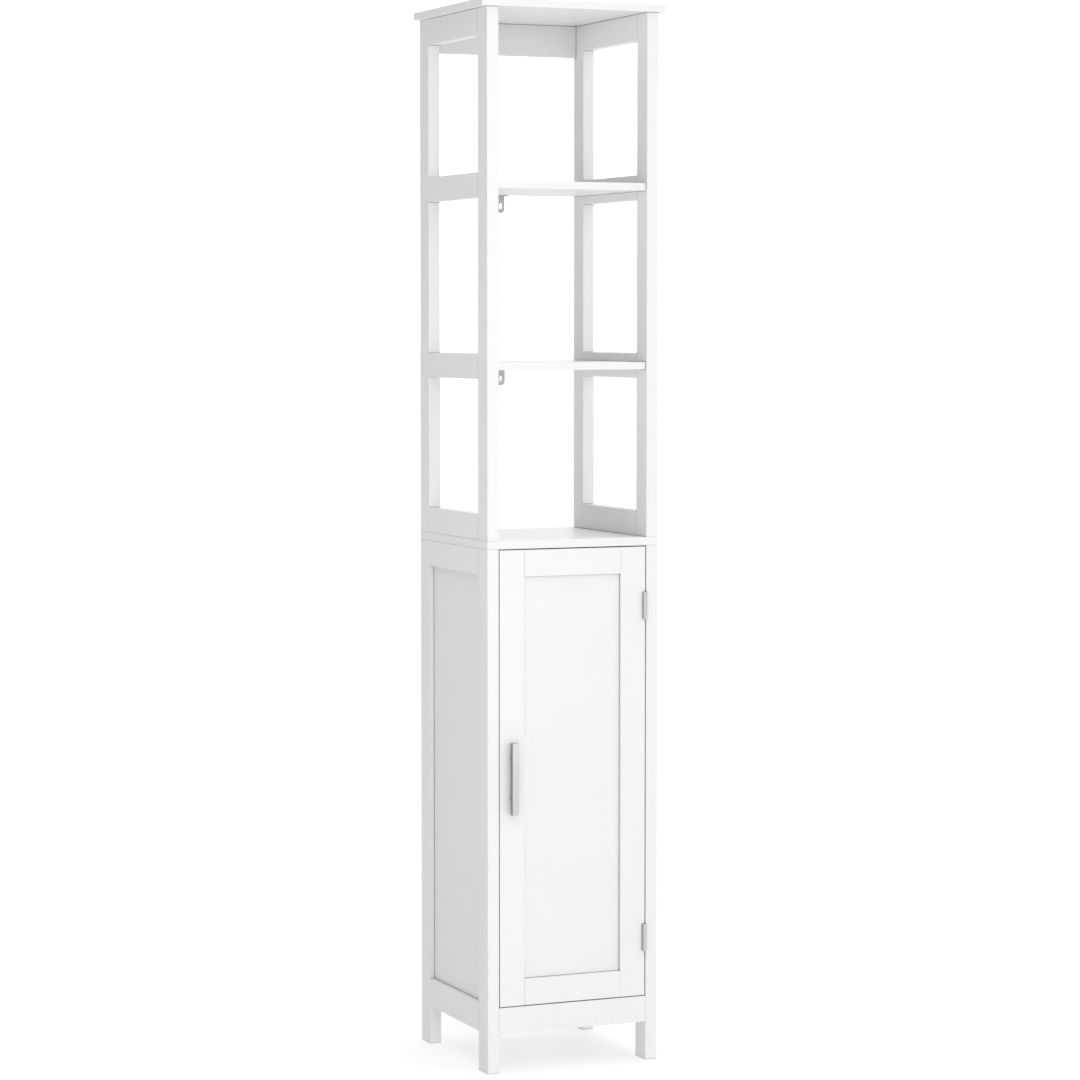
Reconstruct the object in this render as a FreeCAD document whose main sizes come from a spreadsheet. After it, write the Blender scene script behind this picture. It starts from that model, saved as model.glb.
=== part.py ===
import FreeCAD, Part
import math
import os
import re

import Sketcher
from FreeCAD import Rotation, Vector

# A tall bathroom cabinet: a door cupboard on four legs, with an open rack of three
# compartments standing on it. Millimetres, +Z up, the front looks along -Y. The
# origin is on the floor, under the middle of the cabinet's overall box.

doc = FreeCAD.newDocument("TallBathroomCabinet")

# ---------------------------------------------------------------- driving sizes

SIZES = {
    # frame and boards
    "frame_width": 296,
    "frame_depth": 290,
    "post_width": 19.5,
    "post_depth": 39,
    "edge_round": 0.6,
    "lower_post_length": 837,
    "middle_board_thickness": 13.5,
    "upper_post_length": 837.5,
    "top_thickness": 12,
    "top_side_overhang": 11,
    "top_front_overhang": 8,
    # open rack
    "shelf_thickness": 12,
    "shelf_front_setback": 4,
    "low_shelf_rise": 269,
    "high_shelf_rise": 554.7,
    "shelf_rail_height": 40,
    "shelf_rail_drop": 14,
    "top_rail_height": 42,
    "base_rail_height": 41,
    "back_rail_height": 52.5,
    "back_rail_thickness": 9,
    # cupboard
    "leg_height": 62.5,
    "front_rail_height": 42,
    "front_rail_thickness": 12,
    "lower_top_rail_height": 41,
    "lower_bottom_rail_height": 46.3,
    "side_panel_recess": 8,
    "side_panel_thickness": 9,
    "bottom_board_thickness": 12,
    "back_panel_thickness": 3,
    "back_panel_inset": 8,
    "groove_depth": 6,
    "groove_clearance": 0.15,
    "inner_shelf_height": 470,
    "inner_shelf_thickness": 12,
    "inner_shelf_setback": 20,
    "inner_shelf_clearance": 1,
    "shelf_pin_diameter": 5,
    "shelf_pin_depth": 9,
    "shelf_pin_reach": 8,
    "shelf_pin_inset": 8,
    "shelf_pin_pitch": 64,
    # door
    "door_thickness": 15,
    "door_gap_latch": 1.2,
    "door_gap_hinge": 2,
    "door_gap_rails": 1.8,
    "door_stile_width": 43,
    "door_rail_height": 42.5,
    "door_panel_thickness": 4,
    "door_panel_recess": 5.5,
    # handle
    "handle_length": 115,
    "handle_width": 10,
    "handle_depth": 9.5,
    "handle_gap": 5,
    "handle_rise": 365.5,
    "handle_edge": 0.7,
    "handle_post_spacing": 64,
    "handle_post_diameter": 6.5,
    "handle_screw_diameter": 4,
    "handle_screw_bite": 6,
    "handle_screw_head": 8,
    "handle_screw_head_height": 2.4,
    # hinges
    "hinge_height": 44,
    "hinge_end_distance": 95,
    "hinge_axis_inset": 3.8,
    "hinge_axis_reach": 3.5,
    "hinge_notch": 0.5,
    "knuckle_diameter": 6.6,
    "knuckle_clearance": 0.3,
    "pin_diameter": 3,
    "pin_clearance": 0.05,
    "leaf_thickness": 0.9,
    "leaf_depth": 13.5,
    "leaf_screw_spacing": 26,
    # magnetic catch
    "catch_width": 44,
    "catch_depth": 18,
    "catch_height": 14,
    "catch_offset": 24,
    "catch_screw_bite": 9,
    "catch_gap": 0.3,
    "magnet_width": 14,
    "magnet_height": 5,
    "magnet_depth": 10.8,
    "magnet_reach": 0.5,
    "strike_width": 30,
    "strike_height": 8,
    "strike_thickness": 1,
    # wall brackets
    "bracket_width": 14,
    "bracket_leg": 29,
    "bracket_foot": 20,
    "bracket_thickness": 1.5,
    "bracket_offset": 5,
    "bracket_slot_width": 4.6,
    "bracket_slot_length": 9,
    "bracket_slot_drop": 17.5,
    "bracket_screw_reach": 13,
    # dowels, screws and cam fittings
    "dowel_diameter": 8,
    "dowel_length": 30,
    "dowel_spread": 20,
    "thin_dowel_diameter": 6,
    "thin_dowel_length": 24,
    "stacking_dowel_bite": 20,
    "dowel_clearance": 0.05,
    "hole_slack": 0.5,
    "screw_clearance": 0.05,
    "frame_screw_diameter": 4,
    "frame_screw_head": 8,
    "frame_screw_bite": 9,
    "frame_screw_sink": 6,
    "small_screw_diameter": 3,
    "small_screw_head": 5.4,
    "small_screw_length": 14,
    "bracket_screw_length": 10,
    "joint_end_distance": 25,
    "cam_diameter": 12,
    "cam_height": 10,
    "cam_distance": 22,
    "cam_clearance": 0.1,
    "cam_bolt_thread": 6,
    "cam_bolt_bite": 10,
    "cam_bolt_neck": 4,
    "cam_bolt_head": 6.4,
}

sheet = doc.addObject("Spreadsheet::Sheet", "Sizes")
for row, (size_name, value) in enumerate(SIZES.items(), start=1):
    sheet.set(f"A{row}", size_name)
    sheet.set(f"B{row}", str(value))
    sheet.setAlias(f"B{row}", size_name)
doc.recompute()

# ---------------------------------------------------------------- expressions and places

TURNS = {
    "+x": Rotation(Vector(0, 1, 0), 90),
    "-x": Rotation(Vector(0, 1, 0), -90),
    "+y": Rotation(Vector(1, 0, 0), -90),
    "-y": Rotation(Vector(1, 0, 0), 90),
    "+z": Rotation(),
}
DIRECTIONS = {"x": Vector(1, 0, 0), "y": Vector(0, 1, 0), "z": Vector(0, 0, 1)}
SIDES = ("left", "right")

FRONT = "((handle_gap + handle_depth - frame_depth) / 2)"
REAR = f"({FRONT} + frame_depth)"
INNER_LEFT = "(-frame_width / 2 + post_width)"
INNER_RIGHT = "(frame_width / 2 - post_width)"
INSIDE_WIDTH = "(frame_width - 2 * post_width)"
RAIL_FRONT = f"({FRONT} + post_depth)"
RAIL_REAR = f"({REAR} - post_depth)"
RAIL_LENGTH = "(frame_depth - 2 * post_depth)"
RACK_FLOOR = "(lower_post_length + middle_board_thickness)"
RACK_TOP = f"({RACK_FLOOR} + upper_post_length)"
LOW_SHELF = f"({RACK_FLOOR} + low_shelf_rise)"
HIGH_SHELF = f"({RACK_FLOOR} + high_shelf_rise)"
LOWER_TOP_RAIL = "(lower_post_length - lower_top_rail_height)"
UPPER_TOP_RAIL = f"({RACK_TOP} - top_rail_height)"
CUPBOARD_FLOOR = "(leg_height + front_rail_height)"
BOTTOM_UNDERSIDE = f"({CUPBOARD_FLOOR} - bottom_board_thickness)"
BACK_PANEL_FRONT = f"({REAR} - back_panel_inset - back_panel_thickness)"
DOOR_LEFT = f"({INNER_LEFT} + door_gap_latch)"
DOOR_RIGHT = f"({INNER_RIGHT} - door_gap_hinge)"
DOOR_BOTTOM = f"({CUPBOARD_FLOOR} + door_gap_rails)"
DOOR_TOP = "(lower_post_length - door_gap_rails)"
DOOR_REAR = f"({FRONT} + door_thickness)"
SCREW_ROWS = (f"({RAIL_FRONT} + joint_end_distance)", f"({RAIL_REAR} - joint_end_distance)")


def bound(text):
    """Make an expression whose size names read their cells in the sheet."""
    def cell(word):
        return "Sizes." + word.group() if word.group() in SIZES else word.group()
    return re.sub(r"[a-z_]+", cell, str(text))


def bind(obj, **properties):
    """Bind an object's properties to expressions on the sizes."""
    for name, text in properties.items():
        obj.setExpression(name, bound(text))


def place(obj, point, aim="+z"):
    """Put an object's origin at a point, with its own Z along the aim."""
    obj.Placement.Rotation = TURNS[aim]
    for axis, text in zip("xyz", point):
        obj.setExpression(f"Placement.Base.{axis}", bound(text))


def along(point, aim, distance):
    """The point that lies a distance further along an aim."""
    sign, axis = aim
    index = "xyz".index(axis)
    moved = list(point)
    moved[index] = f"({point[index]} {sign} ({distance}))"
    return tuple(moved)


def inward(side, offset, width="0"):
    """X of the low edge of a thing that lies a distance in from a side's outer face."""
    if side == "left":
        return f"(-frame_width / 2 + {offset})"
    return f"(frame_width / 2 - ({offset}) - ({width}))"


# ---------------------------------------------------------------- plain solids

blanks = {}
cutters = {}
groups = {}


def block(name, corner, extent):
    """A rectangular block from its low corner and its three lengths."""
    box = doc.addObject("Part::Box", name)
    bind(box, Length=extent[0], Width=extent[1], Height=extent[2])
    place(box, corner)
    return box


def roomy_block(name, corner, extent, gap):
    """A block that is larger than the given one by a gap on every side."""
    low = [f"({edge} - {gap})" for edge in corner]
    lengths = [f"({length} + 2 * {gap})" for length in extent]
    return block(name, low, lengths)


def rod(name, start, aim, diameter, length):
    """A round bar from the centre of its first end."""
    bar = doc.addObject("Part::Cylinder", name)
    bind(bar, Radius=f"({diameter}) / 2", Height=length)
    place(bar, start, aim)
    return bar


def cross_rod(name, side, offset, y, z, diameter, length):
    """A round bar along X that lies a distance in from a side's outer face."""
    return rod(name, (inward(side, offset, length), y, z), "+x", diameter, length)


def compound(name, members):
    """Several separate solids kept as one object."""
    union = doc.addObject("Part::Compound", name)
    union.Links = members
    return union


def joined(name, members):
    """Several solids fused into one."""
    fusion = doc.addObject("Part::MultiFuse", name)
    fusion.Shapes = members
    return fusion


def less(name, base, tool):
    """A solid with a tool cut out of it."""
    result = doc.addObject("Part::Cut", name)
    result.Base = base
    result.Tool = tool
    return result


def eased(name, box, directions):
    """Round the edges of a block that run along the named directions."""
    box.recompute()
    radius = float(sheet.edge_round)
    edges = []
    for index, edge in enumerate(box.Shape.Edges, start=1):
        tangent = edge.tangentAt(edge.FirstParameter)
        if any(abs(tangent.dot(DIRECTIONS[axis])) > 0.99 for axis in directions):
            edges.append((index, radius, radius))
    fillet = doc.addObject("Part::Fillet", name)
    fillet.Base = box
    fillet.Edges = edges
    return fillet


def board(name, corner, extent, directions=""):
    """Start a piece as a block, eased on the edges that run along the directions."""
    box = block(name + "_blank", corner, extent)
    blanks[name] = eased(name + "_eased", box, directions) if directions else box


def cut(names, tool):
    """Cut a tool from the named pieces when they are finished."""
    for name in names:
        cutters.setdefault(name, []).append(tool)


def add(group, solid):
    """Put a solid in a group that is kept as one node."""
    groups.setdefault(group, []).append(solid)


def numbered(group):
    """The name of the next solid of a group."""
    return f"{group}_{len(groups.get(group, [])) + 1}"


# ---------------------------------------------------------------- dowels and screws


def dowel(group, pieces, centre, axis, diameter, length):
    """A dowel across a joint, and the hole that it fills in each piece."""
    name = numbered(group)
    start = along(centre, "-" + axis, f"({length}) / 2")
    add(group, rod(name, start, "+" + axis, diameter, length))
    mouth = along(start, "-" + axis, "hole_slack")
    hole = rod(name + "_hole", mouth, "+" + axis, f"{diameter} + 2 * dowel_clearance",
               f"({length}) + 2 * hole_slack")
    cut(pieces, hole)


def dowel_pair(group, pieces, centre, axis, diameter, length):
    """Two dowels, one a little below and one a little above a rail's middle."""
    for sign in "-+":
        spot = along(centre, sign + "z", "dowel_spread / 2")
        dowel(group, pieces, spot, axis, diameter, length)


def screw_form(name, seat, aim, diameter, head, length, gap="0"):
    """A countersunk head and a plain shank, larger by a gap all round."""
    cone = doc.addObject("Part::Cone", name + "_head")
    bind(cone, Radius1=f"{head} / 2 + {gap}", Radius2=f"{diameter} / 2 + {gap}",
         Height=f"({head} - {diameter}) / 2")
    place(cone, seat, aim)
    shank = rod(name + "_shank", seat, aim, f"{diameter} + 2 * {gap}", length)
    return joined(name, [cone, shank])


def screw(group, pieces, seat, aim, diameter, head, length):
    """A countersunk screw whose head is flush at its seat, and the hole that it fills."""
    name = numbered(group)
    add(group, screw_form(name, seat, aim, diameter, head, length))
    hole = screw_form(name + "_hole", seat, aim, diameter, head,
                      f"({length}) + hole_slack", "screw_clearance")
    cut(pieces, hole)


def small_screw(group, pieces, seat, aim, length="small_screw_length"):
    """One of the small screws that hold hinges, catch, strike and brackets."""
    screw(group, pieces, seat, aim, "small_screw_diameter", "small_screw_head", length)


def counterbore(name, piece, x, y, mouth_z, seat_z, head):
    """An upright bore from a piece's underside to the seat of a screw's head."""
    mouth = f"({mouth_z} - hole_slack)"
    bore = rod(name, (x, y, mouth), "+z", f"{head} + 2 * screw_clearance", f"({seat_z} - {mouth})")
    cut([piece], bore)


# ---------------------------------------------------------------- sketches


def attach(sketch, body, role):
    """Lay a sketch on one of its own body's origin planes."""
    plane = next(feature for feature in body.Origin.OriginFeatures if feature.Role == role)
    sketch.AttachmentSupport = (plane, [""])
    sketch.MapMode = "FlatFace"


def dimension(sketch, label, text, kind, *elements):
    """A named dimension of a sketch, bound to the sizes."""
    index = sketch.addConstraint(Sketcher.Constraint(kind, *elements, 1.0))
    sketch.renameConstraint(index, label)
    sketch.setExpression(f"Constraints.{label}", bound(text))


def constrain(sketch, *rules):
    """Add plain constraints to a sketch."""
    for rule in rules:
        sketch.addConstraint(Sketcher.Constraint(*rule))


def lines(sketch, corners):
    """Straight lines from each corner to the next."""
    for start, end in zip(corners, corners[1:]):
        sketch.addGeometry(Part.LineSegment(start, end), False)


def half_circle(sketch, centre, angle):
    """Half of a unit circle, from an angle on."""
    circle = Part.Circle(centre, Vector(0, 0, 1), 1)
    sketch.addGeometry(Part.ArcOfCircle(circle, angle, angle + math.pi), False)


def rectangle(sketch, left, bottom, width, height):
    """A rectangle whose corner and sides follow the sizes."""
    corners = [Vector(0, 0, 0), Vector(1, 0, 0), Vector(1, 1, 0), Vector(0, 1, 0)]
    lines(sketch, corners + corners[:1])
    for index in range(4):
        constrain(sketch, ("Coincident", index, 2, (index + 1) % 4, 1))
    constrain(sketch, ("Horizontal", 0), ("Vertical", 1), ("Horizontal", 2), ("Vertical", 3))
    dimension(sketch, "width", width, "DistanceX", 0, 1, 0, 2)
    dimension(sketch, "height", height, "DistanceY", 1, 1, 1, 2)
    dimension(sketch, "left", left, "DistanceX", -1, 1, 0, 1)
    dimension(sketch, "bottom", bottom, "DistanceY", -1, 1, 0, 1)


def tongue(sketch, width, length):
    """An outline that hangs from the sketch's origin and ends in a half circle."""
    lines(sketch, [Vector(-1, -3, 0), Vector(-1, 0, 0), Vector(1, 0, 0), Vector(1, -3, 0)])
    half_circle(sketch, Vector(0, -3, 0), math.pi)
    constrain(
        sketch,
        ("Coincident", 0, 2, 1, 1),
        ("Coincident", 1, 2, 2, 1),
        ("Tangent", 0, 1, 3, 1),
        ("Tangent", 2, 2, 3, 2),
        ("Vertical", 0),
        ("Horizontal", 1),
        ("Vertical", 2),
        ("PointOnObject", 3, 3, -2),
        ("PointOnObject", 0, 2, -1),
    )
    dimension(sketch, "leg_radius", f"({width}) / 2", "Radius", 3)
    dimension(sketch, "leg_length", f"({length}) - ({width}) / 2", "DistanceY", 0, 1, 0, 2)


def slot(sketch, width, length, drop):
    """An upright round-ended slot whose middle lies below the sketch's origin."""
    first = sketch.GeometryCount
    middle, up, out = Vector(0, -5, 0), Vector(0, 1, 0), Vector(1, 0, 0)
    half_circle(sketch, middle + up, 0)
    lines(sketch, [middle + up - out, middle - up - out])
    half_circle(sketch, middle - up, math.pi)
    lines(sketch, [middle - up + out, middle + up + out])
    for index in range(4):
        constrain(sketch, ("Tangent", first + index, 2, first + (index + 1) % 4, 1))
    constrain(
        sketch,
        ("Vertical", first + 1),
        ("Vertical", first + 3),
        ("PointOnObject", first, 3, -2),
    )
    span = f"(({length}) - ({width}))"
    dimension(sketch, "slot_radius", f"({width}) / 2", "Radius", first)
    dimension(sketch, "slot_span", span, "DistanceY", first + 2, 3, first, 3)
    dimension(sketch, "slot_drop", f"({drop}) - {span} / 2", "DistanceY", first, 3, -1, 1)


def sketched_body(name):
    """A body that a piece is made in, feature by feature."""
    body = doc.addObject("PartDesign::Body", name + "_body")
    blanks[name] = body
    return body


def pad(body, name, role, draw, length, **settings):
    """Draw a sketch on one of a body's planes and pad it."""
    sketch = body.newObject("Sketcher::SketchObject", name + "_sketch")
    attach(sketch, body, role)
    draw(sketch)
    feature = body.newObject("PartDesign::Pad", name)
    feature.Profile = sketch
    bind(feature, Length=length)
    for setting, value in settings.items():
        setattr(feature, setting, value)
    return feature


def dress(body, kind, name, size_property, size):
    """Round or bevel every edge of a body's last feature."""
    base = body.Tip
    base.recompute(True)
    feature = body.newObject("PartDesign::" + kind, name)
    feature.Base = (base, ["Edge1"])
    feature.UseAllEdges = True
    bind(feature, **{size_property: size})


# ---------------------------------------------------------------- posts and side rails


def posts(storey, bottom, length):
    """The four posts of a storey."""
    for side in SIDES:
        x = inward(side, "0", "post_width")
        for end, y in (("front", FRONT), ("rear", RAIL_REAR)):
            name = f"{storey}_post_{end}_{side}"
            board(name, (x, y, bottom), ("post_width", "post_depth", length), "z")


def side_rails(storey, level, bottom, height):
    """A rail between the posts of each side frame, held by two dowels at each end."""
    for side in SIDES:
        name = f"{storey}_{level}_rail_{side}"
        corner = (inward(side, "0", "post_width"), RAIL_FRONT, bottom)
        board(name, corner, ("post_width", RAIL_LENGTH, height), "y")
        for end, y in (("front", RAIL_FRONT), ("rear", RAIL_REAR)):
            pieces = [name, f"{storey}_post_{end}_{side}"]
            centre = (inward(side, "post_width / 2"), y, f"({bottom} + {height} / 2)")
            dowel_pair("frame_dowels", pieces, centre, "y", "dowel_diameter", "dowel_length")


posts("lower", "0", "lower_post_length")
side_rails("lower", "bottom", "leg_height", "lower_bottom_rail_height")
side_rails("lower", "top", LOWER_TOP_RAIL, "lower_top_rail_height")
posts("upper", RACK_FLOOR, "upper_post_length")
side_rails("upper", "base", RACK_FLOOR, "base_rail_height")
side_rails("upper", "low_shelf", f"({LOW_SHELF} - shelf_rail_drop)", "shelf_rail_height")
side_rails("upper", "high_shelf", f"({HIGH_SHELF} - shelf_rail_drop)", "shelf_rail_height")
side_rails("upper", "top", UPPER_TOP_RAIL, "top_rail_height")

# ---------------------------------------------------------------- panels in grooves


def side_panel(side):
    """The thin panel of a lower side frame, held in a groove all round."""
    bottom = "(leg_height + lower_bottom_rail_height)"
    corner = (
        inward(side, "side_panel_recess", "side_panel_thickness"),
        f"({RAIL_FRONT} - groove_depth)",
        f"({bottom} - groove_depth)",
    )
    extent = (
        "side_panel_thickness",
        f"({RAIL_LENGTH} + 2 * groove_depth)",
        f"({LOWER_TOP_RAIL} - {bottom} + 2 * groove_depth)",
    )
    board(f"side_panel_{side}", corner, extent)
    groove = roomy_block(f"side_panel_{side}_groove", corner, extent, "groove_clearance")
    frame = ("lower_post_front", "lower_post_rear", "lower_bottom_rail", "lower_top_rail")
    cut([f"{name}_{side}" for name in frame], groove)


def back_panel():
    """The thin back of the cupboard, slid into a groove in each rear post."""
    height = f"(lower_post_length - {BOTTOM_UNDERSIDE})"
    corner = (f"({INNER_LEFT} - groove_depth)", BACK_PANEL_FRONT, BOTTOM_UNDERSIDE)
    extent = (f"({INSIDE_WIDTH} + 2 * groove_depth)", "back_panel_thickness", height)
    board("back_panel", corner, extent)
    groove = roomy_block("back_panel_groove", corner, extent, "groove_clearance")
    cut([f"lower_post_rear_{side}" for side in SIDES], groove)


for side in SIDES:
    side_panel(side)
back_panel()

# ---------------------------------------------------------------- boards across the frames


def top_panel():
    """The overhanging top: a padded rectangle with all its edges rounded."""
    body = sketched_body("top_panel")

    def outline(sketch):
        rectangle(sketch, "-frame_width / 2 - top_side_overhang", f"{FRONT} - top_front_overhang",
                  "frame_width + 2 * top_side_overhang", "frame_depth + top_front_overhang")

    pad(body, "top_panel_pad", "XY_Plane", outline, "top_thickness")
    dress(body, "Fillet", "top_panel_rounding", "Radius", "edge_round")
    place(body, ("0", "0", RACK_TOP))


def open_shelf(name, underside):
    """A shelf of the open rack, set back a little at the front."""
    corner = (INNER_LEFT, f"({FRONT} + shelf_front_setback)", underside)
    extent = (INSIDE_WIDTH, "(frame_depth - shelf_front_setback)", "shelf_thickness")
    board(name, corner, extent, "x")


def bottom_board():
    """The cupboard's floor, behind the front rail and up to the back panel."""
    front = f"({FRONT} + front_rail_thickness)"
    extent = (INSIDE_WIDTH, f"({BACK_PANEL_FRONT} - {front})", "bottom_board_thickness")
    board("bottom_board", (INNER_LEFT, front, BOTTOM_UNDERSIDE), extent)


def cross_rails():
    """The rail across the back, under the top, and the rail under the door."""
    back = (INNER_LEFT, f"({REAR} - back_rail_thickness)", f"({RACK_TOP} - back_rail_height)")
    board("back_top_rail", back, (INSIDE_WIDTH, "back_rail_thickness", "back_rail_height"), "x")
    front = (INNER_LEFT, FRONT, "leg_height")
    board("front_rail", front, (INSIDE_WIDTH, "front_rail_thickness", "front_rail_height"), "x")
    sizes = ("thin_dowel_diameter", "thin_dowel_length")
    for side in SIDES:
        x = inward(side, "post_width")
        spot = (x, f"({REAR} - back_rail_thickness / 2)", f"({RACK_TOP} - back_rail_height / 2)")
        pieces = ["back_top_rail", f"upper_post_rear_{side}"]
        dowel_pair("cross_rail_dowels", pieces, spot, "x", *sizes)
        spot = (x, f"({FRONT} + front_rail_thickness / 2)", "(leg_height + front_rail_height / 2)")
        pieces = ["front_rail", f"lower_post_front_{side}"]
        dowel_pair("cross_rail_dowels", pieces, spot, "x", *sizes)


top_panel()
board("middle_board", ("(-frame_width / 2)", FRONT, "lower_post_length"),
      ("frame_width", "frame_depth", "middle_board_thickness"), "xyz")
open_shelf("low_shelf", LOW_SHELF)
open_shelf("high_shelf", HIGH_SHELF)
bottom_board()
cross_rails()

# ---------------------------------------------------------------- joints between the boards


def stacking_dowels():
    """A long dowel at each corner that locates the rack on the cupboard."""
    length = "middle_board_thickness + 2 * stacking_dowel_bite"
    for side in SIDES:
        x = inward(side, "post_width / 2")
        for end, y in (("front", f"({FRONT} + post_depth / 2)"), ("rear", f"({REAR} - post_depth / 2)")):
            pieces = [f"lower_post_{end}_{side}", "middle_board", f"upper_post_{end}_{side}"]
            centre = (x, y, "(lower_post_length + middle_board_thickness / 2)")
            dowel("stacking_dowels", pieces, centre, "z", "dowel_diameter", length)


def frame_screws(side, rail, bottom, height, upper_pieces, thickness):
    """Two screws up through a side rail and what lies on it, from deep counterbores."""
    length = "(top_rail_height - frame_screw_sink + frame_screw_bite)"
    seat_z = f"({bottom} + {height} + {thickness} + frame_screw_bite - {length})"
    x = inward(side, "post_width / 2")
    for y in SCREW_ROWS:
        name = numbered("frame_screws")
        screw("frame_screws", [rail, *upper_pieces], (x, y, seat_z), "+z",
              "frame_screw_diameter", "frame_screw_head", length)
        counterbore(name + "_counterbore", rail, x, y, bottom, seat_z, "frame_screw_head")


stacking_dowels()
for side in SIDES:
    frame_screws(side, f"upper_top_rail_{side}", UPPER_TOP_RAIL, "top_rail_height", ["top_panel"], "0")
    frame_screws(side, f"lower_top_rail_{side}", LOWER_TOP_RAIL, "lower_top_rail_height",
                 ["middle_board", f"upper_base_rail_{side}"], "middle_board_thickness")

# ---------------------------------------------------------------- cam fittings

CAM_HEAD_LENGTH = "(cam_bolt_head / 2)"
CAM_HEAD_OFFSET = f"(post_width + cam_distance - {CAM_HEAD_LENGTH})"


def cam_bolt(name, shelf, rail, side, y, z):
    """A bolt screwed into a rail, its neck and head in a tunnel of the shelf."""
    def section(part, offset, diameter, length):
        return cross_rod(f"{name}_{part}", side, offset, y, z, diameter, length)

    thread = section("thread", "post_width - cam_bolt_bite", "cam_bolt_thread", "cam_bolt_bite")
    neck = section("neck", "post_width", "cam_bolt_neck", f"cam_distance - {CAM_HEAD_LENGTH}")
    head = section("head", CAM_HEAD_OFFSET, "cam_bolt_head", CAM_HEAD_LENGTH)
    add("cam_bolts", joined(name, [thread, neck, head]))
    hole = section("hole", "post_width - cam_bolt_bite - hole_slack",
                   "cam_bolt_thread + 2 * screw_clearance", "cam_bolt_bite + hole_slack")
    cut([rail], hole)
    tunnel = section("tunnel", "post_width", "cam_bolt_head + 2 * cam_clearance", "cam_distance")
    cut([shelf], tunnel)


def cam_nut(name, shelf, side, y, z, underside):
    """A round cam in the shelf's underside, hollow round the bolt's head and neck."""
    x = inward(side, "post_width + cam_distance")
    body = rod(name + "_body", (x, y, underside), "+z", "cam_diameter", "cam_height")
    width = "(cam_bolt_neck + 4 * cam_clearance)"
    reach = "(cam_diameter / 2 + hole_slack)"
    neck_x = inward(side, f"post_width + cam_distance - {reach}", reach)
    neck_room = block(
        name + "_neck_room",
        (neck_x, f"({y} - {width} / 2)", f"({z} - {width} / 2)"),
        (reach, width, width),
    )
    head_room = cross_rod(name + "_head_room", side, f"{CAM_HEAD_OFFSET} - 2 * cam_clearance", y, z,
                          "cam_bolt_head + 4 * cam_clearance", f"{CAM_HEAD_LENGTH} + 4 * cam_clearance")
    driver_slot = block(
        name + "_driver_slot",
        (f"({x} - cam_diameter / 3)", f"({y} - cam_diameter / 20)", f"({underside} - hole_slack)"),
        ("(cam_diameter * 2 / 3)", "(cam_diameter / 10)", "(cam_height / 10 + hole_slack)"),
    )
    hollow = joined(name + "_hollow", [neck_room, head_room, driver_slot])
    add("cam_nuts", less(name, body, hollow))
    pocket = rod(name + "_pocket", (x, y, f"({underside} - hole_slack)"), "+z",
                 "cam_diameter + 2 * cam_clearance", "cam_height + cam_clearance + hole_slack")
    cut([shelf], pocket)


def cam_joints(shelf, rail, underside, thickness):
    """The two cam fittings at each end of a board."""
    z = f"({underside} + {thickness} / 2)"
    for side in SIDES:
        for y in SCREW_ROWS:
            cam_bolt(numbered("cam_bolts"), shelf, f"{rail}_{side}", side, y, z)
            cam_nut(numbered("cam_nuts"), shelf, side, y, z, underside)


cam_joints("low_shelf", "upper_low_shelf_rail", LOW_SHELF, "shelf_thickness")
cam_joints("high_shelf", "upper_high_shelf_rail", HIGH_SHELF, "shelf_thickness")
cam_joints("bottom_board", "lower_bottom_rail", BOTTOM_UNDERSIDE, "bottom_board_thickness")

# ---------------------------------------------------------------- loose shelf on pins

PIN_HEIGHT = "(inner_shelf_height - shelf_pin_diameter / 2)"
PIN_HOLE_DEPTH = "(shelf_pin_depth + hole_slack)"


def shelf_pin(end, side, y):
    """A pin under the loose shelf, in the middle one of three holes in a post."""
    name = f"shelf_pin_{end}_{side}"
    pin = cross_rod(name, side, "post_width - shelf_pin_depth", y, PIN_HEIGHT,
                    "shelf_pin_diameter", "shelf_pin_depth + shelf_pin_reach")
    add("shelf_pins", pin)
    for number, step in enumerate((-1, 0, 1), start=1):
        hole = cross_rod(f"{name}_hole_{number}", side, f"post_width - {PIN_HOLE_DEPTH}", y,
                         f"({PIN_HEIGHT} + {step} * shelf_pin_pitch)",
                         "shelf_pin_diameter + 2 * dowel_clearance", PIN_HOLE_DEPTH)
        cut([f"lower_post_{end}_{side}"], hole)


def inner_shelf():
    """The lift-out shelf, free of the posts and the back, on its four pins."""
    front = f"({FRONT} + inner_shelf_setback)"
    rear = f"({BACK_PANEL_FRONT} - inner_shelf_clearance)"
    corner = (f"({INNER_LEFT} + inner_shelf_clearance)", front, "inner_shelf_height")
    width = f"({INSIDE_WIDTH} - 2 * inner_shelf_clearance)"
    board("inner_shelf", corner, (width, f"({rear} - {front})", "inner_shelf_thickness"), "x")
    for side in SIDES:
        shelf_pin("front", side, f"({front} + shelf_pin_inset)")
        shelf_pin("rear", side, f"({rear} - shelf_pin_inset)")


inner_shelf()

# ---------------------------------------------------------------- door

PANEL_LEFT = f"({DOOR_LEFT} + door_stile_width)"
PANEL_RIGHT = f"({DOOR_RIGHT} - door_stile_width)"
STILES = ("door_stile_latch", "door_stile_hinge")


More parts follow.
